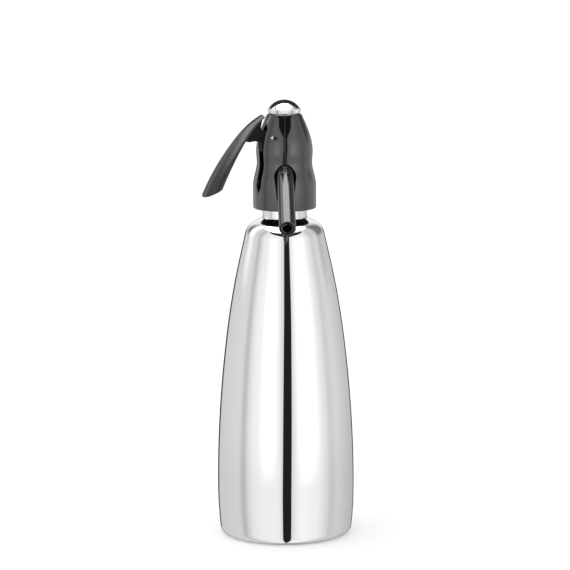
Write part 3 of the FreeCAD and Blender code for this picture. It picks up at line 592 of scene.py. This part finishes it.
# bottle: outline places are (radius, height) in millimetres
bottleForm = {
    "wall": 1.0,
    "dish": 2.5,            # how far the middle of the base is drawn up
    "dishRadius": 35.3,
    "restRing": 40.3,
    "foot": (44.3, 7.0),    # centre of the foot's corner, which has its height as radius
    "side": [(53.0, 48.0), (47.3, 142.0), (37.5, 206.0), (30.7, 236.4)],
    "sideStart": (0.12, 1.0),
    "shoulderRound": 14.0,
    "shoulderSlope": 24.0,
    "neck": 17.0,
    "neckBore": 14.8,
    "neckFillet": 2.0,
    "neckChamfer": 0.3,
    "threadRoot": 16.2,
    "threadRoom": 0.03,     # the crests stay inside the neck by this
    "threadFoot": 258.0,
    "threadStart": 2.2,
    "threadPitch": 3.6,
    "threadTurns": 3,
    "threadCrest": 1.0,     # flat of a turn, and the flank on each side of it
    "threadFlank": 0.3,
    "crestRound": (0.1, 0.2),
    "lip": 272.0,
    "lipRound": (0.4, 0.12),
    "baseMarks": [11.0, 19.0, 27.0],    # radii of the shallow rings pressed in the base
    "markDepth": 0.35,
    "markHalf": (0.9, 0.3),
}


def bottleSide(form, inset, steps):
    # foot's corner, long side, shoulder's round and short cone, drawn in by the wall for the inside
    footX, footZ = form["foot"]
    side = [(footX + footZ - inset, footZ)] + [(r - inset, z) for r, z in form["side"]]
    lastWay = Vector(form["side"][-1]) - Vector(form["side"][-2])
    run = arcRun((footX, footZ), footZ - inset, -90, 0, steps // 2)[:-1]
    run += smoothRun(side, form["sideStart"], lastWay, steps)
    lean = math.degrees(math.atan2(-lastWay.x, lastWay.y))
    turn = form["shoulderRound"] - inset
    centre = Vector(side[-1]) - turn * Vector((math.cos(math.radians(lean)), math.sin(math.radians(lean))))
    run += arcRun(centre, turn, lean, 90 - form["shoulderSlope"], steps // 2)[1:]
    return run


def makeBottle(form):
    slope = math.radians(form["shoulderSlope"])
    dish, restRing = form["dish"], form["restRing"]
    wide, narrow = form["markHalf"]
    mark = dish + form["markDepth"]
    outline = [(0, dish)]
    for r in form["baseMarks"]:
        outline += [(r - wide, dish), (r - narrow, mark), (r + narrow, mark), (r + wide, dish)]
    outline += [(form["dishRadius"], dish)]
    outline += [(restRing - 0.6, 0.2), (restRing + 0.4, 0)]     # a soft edge to rest on
    outline += bottleSide(form, 0, 24)

    # cone up to the neck, the neck with its thread, and the lip
    coneEnd = outline[-1]
    neck, fillet, bore = form["neck"], form["neckFillet"], form["neckBore"]
    neckZ = coneEnd[1] + (coneEnd[0] - neck) * math.tan(slope)
    filletZ = neckZ + (fillet - fillet * math.sin(slope)) / math.cos(slope)
    outline += arcRun((neck + fillet, filletZ), fillet, 270 - form["shoulderSlope"], 180, 8)
    root, foot = form["threadRoot"], form["threadFoot"]
    flank, flat = form["threadFlank"], form["threadCrest"]
    roundIn, roundUp = form["crestRound"]
    crest, chamfer = neck - form["threadRoom"], form["neckChamfer"]
    outline += [(neck, foot - chamfer), (neck - chamfer, foot), (root, foot)]
    for turn in range(form["threadTurns"]):
        z = foot + form["threadStart"] + turn * form["threadPitch"]
        outline += [(root, z - flank), (crest - roundIn, z), (crest, z + roundUp), (crest, z + flat),
                    (crest - roundIn, z + flat + roundUp), (root, z + flat + roundUp + flank)]
    lip = form["lip"]
    far, near = form["lipRound"]
    outline += [(root, lip - far), (root - near, lip - near), (root - far, lip), (bore + far, lip),
                (bore + near, lip - near), (bore, lip - far)]

    # back down the inside
    inside = bottleSide(form, form["wall"], 10)
    innerEnd = inside[-1]
    inside.append((bore, innerEnd[1] + (innerEnd[0] - bore) * math.tan(slope)))
    outline += list(reversed(inside))
    wall = form["wall"]
    outline += [(restRing + wall, wall), (form["dishRadius"] + wall, dish + wall), (0, dish + wall)]
    bottle = turnLoop("bottleShell", [(r, 0, z) for r, z in outline], steps=192)
    finishPiece(bottle, steel, "bottle", "polished_steel", "bottle", "neck_ring")


# head cover, lever and spout: the lever's own directions are outward, sideways and up
headForm = {
    "skirt": 24.2,
    "low": 256.0,
    "skirtRound": 1.2,
    "side": [(24.2, 274.0), (21.25, 291.5), (21.7, 298.5), (17.5, 319.0), (13.2, 329.1)],
    "wall": 2.5,
    "topRound": 0.6,
    "topPlate": 3.0,
    "topHole": 7.3,
    "archTop": (8.5, 282.5),        # radius and height of the spout opening's rounds
    "archFoot": (6.8, 267.8),
    "tubeRoom": 7.2,                # radius of the leaning way that the spout falls through, and its ends
    "tubeWay": (11.5, 45),
    "slotWidth": 5.8,
    "slotPoint": 4.5,
    "slot": (269.0, 323.0),
    "lugInner": 12.9,
    "lugOuter": 16.4,
    "lugWidth": 3.6,
    "lug": (307.5, 316.5),
    "pinHole": 1.43,
    "edge": 0.35,
    "edgeAngle": 42,        # sharper edges than this, in degrees, are rounded
}
spoutForm = {
    "radius": 6.5,
    "bore": 3.65,
    "fall": 30.0,
    "rise": 296.0,          # height of its axis at the head's axis
    "start": 11.04,
    "reach": 78.0,
    "endRound": 0.7,
    "boreRound": 0.35,
}
leverForm = {
    "azimuth": 213.0,
    # along the blade: crest outward and up from the pin, half width, depth, height of its straight side
    "crest": [(4.3, 17.6), (15.5, 11.2), (32.3, -4.8), (45.8, -21.9), (58.4, -43.4)],
    "halfWidths": [3.5, 5.2, 7.8, 9.4, 10.2],
    "depths": [2.2, 3.2, 4.6, 5.9, 6.8],
    "straightSides": [0.6, 0.9, 1.3, 1.6, 1.8],
    "crownWall": 2.2,
    "rim": 0.45,
    "rimEdge": 0.2,
    "endSetback": 13.0,     # how far the rims end before the tip
    "endDepth": 7.5,
    "endTrim": 1.9,
    "plate": 4.9,
    "boss": 4.2,
    "bossProud": 0.12,
    "nose": 3.7,
    "noseProud": 0.05,
    "noseAt": (2.2, -7.7),
    "linkStart": -1.0,      # link between boss and nose, sunk a little below the web's faces
    "linkSink": 0.05,
    "pinHole": 1.45,
    "web": [(0, 4.2), (5.4, 6.0), (6.7, 7.7), (6.3, 10.1), (4.6, 15.6), (14.3, 9.6), (23.6, 2.2),
            (20.1, -2.0), (17.5, -2.6), (12.0, -2.2), (5.9, -3.4), (5.9, -7.7), (0, 0)],
    "edge": 0.4,
}
turnOut = math.radians(leverForm["azimuth"])
leverOut = Vector((math.cos(turnOut), math.sin(turnOut), 0))
leverSide = Vector((-math.sin(turnOut), math.cos(turnOut), 0))
pinLow, pinHigh = [Vector(corner) * 1000 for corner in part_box("lever_pin")]
pivot = (pinLow + pinHigh) / 2


def fromPivot(out, side, up):
    return pivot + leverOut * out + leverSide * side + Vector((0, 0, up))


def onAxis(out, side, up):
    return leverOut * out + leverSide * side + Vector((0, 0, up))


def spoutPlace(along, radius):
    fall = math.radians(spoutForm["fall"])
    start = Vector((0, 0, spoutForm["rise"]))
    return start + Vector((0, -math.cos(fall), -math.sin(fall))) * along + Vector((radius, 0, 0))


def headOutline(form):
    # half section of the shell: round the top plate, down the outside and up the inside
    top, crown = form["side"][-1][1], form["side"][-1][0]
    side = smoothRun(form["side"], (0, 1), Vector(form["side"][-1]) - Vector(form["side"][-2]), 16)
    topRound, skirtRound, plate = form["topRound"], form["skirtRound"], form["topPlate"]
    outline = [(form["topHole"], top), (crown - topRound, top)]
    outline += arcRun((crown - topRound, top - topRound), topRound, 85, 20, 5)
    sideTop = top - 1.5     # the side starts below the round
    outline += [(r, z) for r, z in reversed(side) if z < sideTop]
    outline += arcRun((form["skirt"] - skirtRound, form["low"] + skirtRound), skirtRound, 0, -90, 8)
    inner = [(r - form["wall"], z) for r, z in side if z < top - plate]
    outline += [(form["skirt"] - form["wall"], form["low"])] + inner[::2]
    return outline + [(inner[-1][0], top - plate), (form["topHole"], top - plate)]


def makeHead(form):
    head = turnLoop("headShell", [(r, 0, z) for r, z in headOutline(form)], steps=192)

    # lugs that carry the lever's pin
    lugs = []
    half = form["slotWidth"] / 2
    low, high = form["lug"]
    near, far = form["lugInner"], form["lugOuter"]
    spare = 0.2     # reaches into the slot, which is cut later
    for hand in (-1, 1):
        inner, outer = hand * (half - spare), hand * (half + form["lugWidth"])
        corners = [(near, inner), (far, inner), (far, outer), (near, outer)]
        foot = [onAxis(out, along, low) for out, along in corners]
        lugs.append(extrudeLoop("lug", foot, (0, 0, high - low)))
    addTo(head, lugs)

    # opening for the spout
    (topR, topZ), (footR, footZ) = form["archTop"], form["archFoot"]
    arch = arcRun((0, topZ), topR, 0, 180, 32) + arcRun((0, footZ), footR, 180, 360, 24)
    archCutter = extrudeLoop("archCutter", [(x, 0, z) for x, z in arch], (0, -2 * form["skirt"], 0))

    # leaning way behind it
    fall = math.radians(spoutForm["fall"])
    upright = Vector((0, -math.sin(fall), math.cos(fall)))
    start, end = form["tubeWay"]
    wayLoop = [spoutPlace(start, x) + upright * y for x, y in ringRun(form["tubeRoom"], 64)]
    wayCutter = extrudeLoop("wayCutter", wayLoop, spoutPlace(end, 0) - spoutPlace(start, 0))

    # lever's slot, pointed at both ends, from just inside the lugs, and the pin's holes
    low, high = form["slot"]
    point = form["slotPoint"]
    slot = [(0, low), (half, low + point), (half, high - point), (0, high), (-half, high - point),
            (-half, low + point)]
    slotCutter = extrudeLoop("slotCutter", [onAxis(near - 1, along, up) for along, up in slot],
                             leverOut * 2 * form["skirt"])
    reach = 30      # on each side of the slot's middle
    pinLoop = [fromPivot(out, -reach, up) for out, up in ringRun(form["pinHole"], 32)]
    pinCutter = extrudeLoop("pinCutter", pinLoop, leverSide * 2 * reach)

    cutAway(head, [archCutter, wayCutter, slotCutter, pinCutter])
    applyModifier(head, "BEVEL", width=form["edge"] / 1000, segments=2, limit_method="ANGLE",
                  angle_limit=math.radians(form["edgeAngle"]), use_clamp_overlap=True)
    bpy.ops.object.shade_smooth_by_angle(angle=math.radians(30))
    finishPiece(head, headPlastic, "head", "black_plastic", "head_cover")


def makeSpout(form):
    cosFall = math.cos(math.radians(form["fall"]))
    start, end = form["start"] / cosFall, form["reach"] / cosFall
    radius, bore = form["radius"], form["bore"]
    rounding, inner = form["endRound"], form["boreRound"]
    places = [(start, bore), (start, radius)]
    places += arcRun((end - rounding, radius - rounding), rounding, 90, 0, 8)
    places += arcRun((end - inner, bore + inner), inner, 0, -90, 5)
    axis = (spoutPlace(1, 0) - spoutPlace(0, 0)).normalized()
    tube = turnLoop("spoutTube", [spoutPlace(along, r) for along, r in places],
                    centre=spoutPlace(0, 0) / 1000, axis=axis, steps=128)
    finishPiece(tube, blackPlastic, "head", "black_plastic", "spout_tube")


def bladeSection(form, half, depth, straight):
    # from the right rim over the crown and back below it, as (across, below the crest)
    rise = depth - straight
    radius = (half * half + rise * rise) / (2 * rise)
    spread = math.degrees(math.asin(half / radius))
    soft = straight * 0.8       # length of the soft bend between side and crown
    turn = math.degrees(soft / radius)
    arc = arcRun((0, radius), radius, spread - 90 - turn, turn - 90 - spread, 26)
    section = [(half, depth)] + bendRun((half, rise + soft), (half, rise), arc[0]) + arc[1:-1]
    section += bendRun(arc[-1], (-half, rise), (-half, rise + soft)) + [(-half, depth)]
    inner = half - 2 * form["rim"]
    hollow = depth - form["rim"] - form["crownWall"]
    below = [step / 8 - 1 for step in range(17)]        # from the left rim to the right one, as -1 to 1
    return section + [(inner * t, form["crownWall"] + hollow * t * t) for t in below]


def makeBlade(form):
    stations = [(*crest, half, depth, straight) for crest, half, depth, straight
                in zip(form["crest"], form["halfWidths"], form["depths"], form["straightSides"])]
    run = smoothRun(stations, None, None, 14)
    sections = [bladeSection(form, half, depth, straight) for out, up, half, depth, straight in run]
    columns = len(sections[0])
    bpy.ops.object.select_all(action="DESELECT")
    bpy.ops.mesh.primitive_grid_add(x_subdivisions=columns, y_subdivisions=len(run) - 1, size=0.01)
    blade = bpy.context.object
    blade.name = "leverBlade"
    for row, station in enumerate(run):
        ahead = run[min(row + 1, len(run) - 1)] - run[max(row - 1, 0)]
        way = Vector((ahead[0], ahead[1])).normalized()
        inward = Vector((way.y, -way.x))
        for column in range(columns + 1):
            across, drop = sections[row][column % columns]
            place = fromPivot(station[0] + inward.x * drop, across, station[1] + inward.y * drop)
            blade.data.vertices[row * (columns + 1) + column].co = place / 1000

    # the end is cut aslant, from the crest's tip back to the rims
    tip, before = Vector(form["crest"][-1]), Vector(form["crest"][-2])
    way = (tip - before).normalized()
    inward = Vector((way.y, -way.x))
    slant = (inward * form["endDepth"] - way * form["endSetback"]).normalized()
    tip = tip - way * form["endTrim"]
    bpy.ops.object.mode_set(mode="EDIT")
    bpy.ops.mesh.select_all(action="SELECT")
    bpy.ops.mesh.remove_doubles(threshold=0.000002)
    bpy.ops.mesh.select_all(action="SELECT")
    bpy.ops.mesh.bisect(plane_co=fromPivot(tip.x, 0, tip.y) / 1000, plane_no=onAxis(-slant.y, 0, slant.x),
                        clear_outer=True, use_fill=True, threshold=0.0000001)
    bpy.ops.mesh.select_all(action="DESELECT")
    bpy.ops.mesh.select_non_manifold()
    bpy.ops.mesh.edge_face_add()
    closeMesh(30)
    applyModifier(blade, "BEVEL", width=form["rimEdge"] / 1000, segments=3, limit_method="ANGLE",
                  angle_limit=math.radians(50))
    bpy.ops.object.shade_smooth_by_angle(angle=math.radians(35))
    return blade


def makeArm(form):
    # web with boss and nose, a link between them, and the pin's hole
    half = form["plate"] / 2
    web = [fromPivot(out, -half, up) for out, up in form["web"]]
    arm = extrudeLoop("leverArm", web, leverSide * 2 * half)
    noseOut, noseUp = form["noseAt"]
    parts = []
    for name, centre, radius, proud in (("boss", (0, 0), form["boss"], form["bossProud"]),
                                        ("nose", form["noseAt"], form["nose"], form["noseProud"])):
        circle = [fromPivot(centre[0] + out, -half - proud, centre[1] + up)
                  for out, up in ringRun(radius, 48)]
        parts.append(extrudeLoop(name, circle, leverSide * 2 * (half + proud)))
    start, end, linkHalf = form["linkStart"], noseOut + form["nose"], half - form["linkSink"]
    corners = [(start, 0), (start, noseUp), (end, noseUp), (end, 0)]
    link = [fromPivot(out, -linkHalf, up) for out, up in corners]
    parts.append(extrudeLoop("link", link, leverSide * 2 * linkHalf))
    addTo(arm, parts)
    reach = 10
    pinLoop = [fromPivot(out, -reach, up) for out, up in ringRun(form["pinHole"], 32)]
    cutAway(arm, [extrudeLoop("pinCutter", pinLoop, leverSide * 2 * reach)])
    applyModifier(arm, "BEVEL", width=form["edge"] / 1000, segments=3, limit_method="ANGLE",
                  angle_limit=math.radians(40))
    bpy.ops.object.shade_smooth_by_angle(angle=math.radians(35))
    return arm


def makeLever(form):
    for part, finish in ((makeBlade(form), satinPlastic), (makeArm(form), mattePlastic)):
        finishPiece(part, finish, "lever", "black_plastic", "lever")
        part.visible_glossy = False     # keeps the lever's dark mirror image off the cover


# screw cap: dome and ribbed ring
domeForm = {
    "radius": 12.11,
    "low": 333.4,
    "height": 6.4,
    "wall": 1.1,
    "edge": 0.25,
    "edgeTurn": 1.2,        # degrees of the ball that make way for the edge
    "edgeIn": 0.05,
}


def makeDome(form):
    ball = (form["radius"] ** 2 + form["height"] ** 2) / (2 * form["height"])
    centreZ = form["low"] + form["height"] - ball
    innerBall = ball - form["wall"]
    radius, low, edge = form["radius"], form["low"], form["edge"]
    start = math.degrees(math.asin((low - centreZ) / ball))
    innerStart = math.degrees(math.asin((low - centreZ) / innerBall))
    outline = arcRun((0, centreZ), ball, 90, start + form["edgeTurn"], 30)
    outline += [(radius - form["edgeIn"], low + edge), (radius - edge, low)]
    outline += arcRun((0, centreZ), innerBall, innerStart, 90, 16)
    dome = turnLoop("capDome", [(max(r, 0), 0, z) for r, z in outline], steps=128)
    finishPiece(dome, chrome, "cap", "chrome_plate", "cap_dome")


ringForm = {
    "radius": 12.6,
    "bore": 11.1,
    "height": 3.9,
    "web": 1.6,
    "webBore": 5.2,
    "ribs": 40,
    "ribSteps": 10,         # places on each rib
    "ribDepth": 0.42,
    "ribSharpness": 1.4,    # higher is a narrower crest
    "edge": 0.45,
}


def makeRing(form):
    # rounded ribs all round, drawn in at both ends, and a bore that leaves a web under the dome
    base = domeForm["low"] - form["height"]
    steps = form["ribs"] * form["ribSteps"]
    edge, height = form["edge"], form["height"]
    places = []
    for step in range(steps):
        a = 2 * math.pi * step / steps
        rib = abs(math.sin(a * form["ribs"] / 2)) ** form["ribSharpness"]
        r = form["radius"] - edge - form["ribDepth"] * (1 - rib)
        places.append((r * math.cos(a), r * math.sin(a), base))
    ring = addLoop("capRing", places)
    bpy.ops.object.mode_set(mode="EDIT")
    levels = [(0, edge), (edge, 0), (height - edge, 0), (height, edge)]     # height and how far drawn in
    for (low, lowInset), (high, highInset) in zip(levels, levels[1:]):
        bpy.ops.mesh.extrude_region_move(TRANSFORM_OT_translate={"value": (0, 0, (high - low) / 1000)})
        share = (form["radius"] - highInset) / (form["radius"] - lowInset)
        bpy.ops.transform.resize(value=(share, share, 1), center_override=(0, 0, 0))
    bpy.ops.mesh.select_all(action="DESELECT")
    bpy.ops.mesh.select_non_manifold()
    bpy.ops.mesh.fill_holes(sides=0)
    closeMesh(40)
    for name, radius, low, high in (("ringBore", form["bore"], -1, height - form["web"]),
                                    ("ringHole", form["webBore"], 0, height + 1)):
        loop = [(x, y, base + low) for x, y in ringRun(radius, 96)]
        cutAway(ring, [extrudeLoop(name, loop, (0, 0, high - low))])
    bpy.ops.object.shade_smooth_by_angle(angle=math.radians(40))
    finishPiece(ring, ribbedChrome, "cap", "chrome_plate", "cap_knurled_ring")


makeBottle(bottleForm)
makeHead(headForm)
makeSpout(spoutForm)
makeLever(leverForm)
makeDome(domeForm)
makeRing(ringForm)
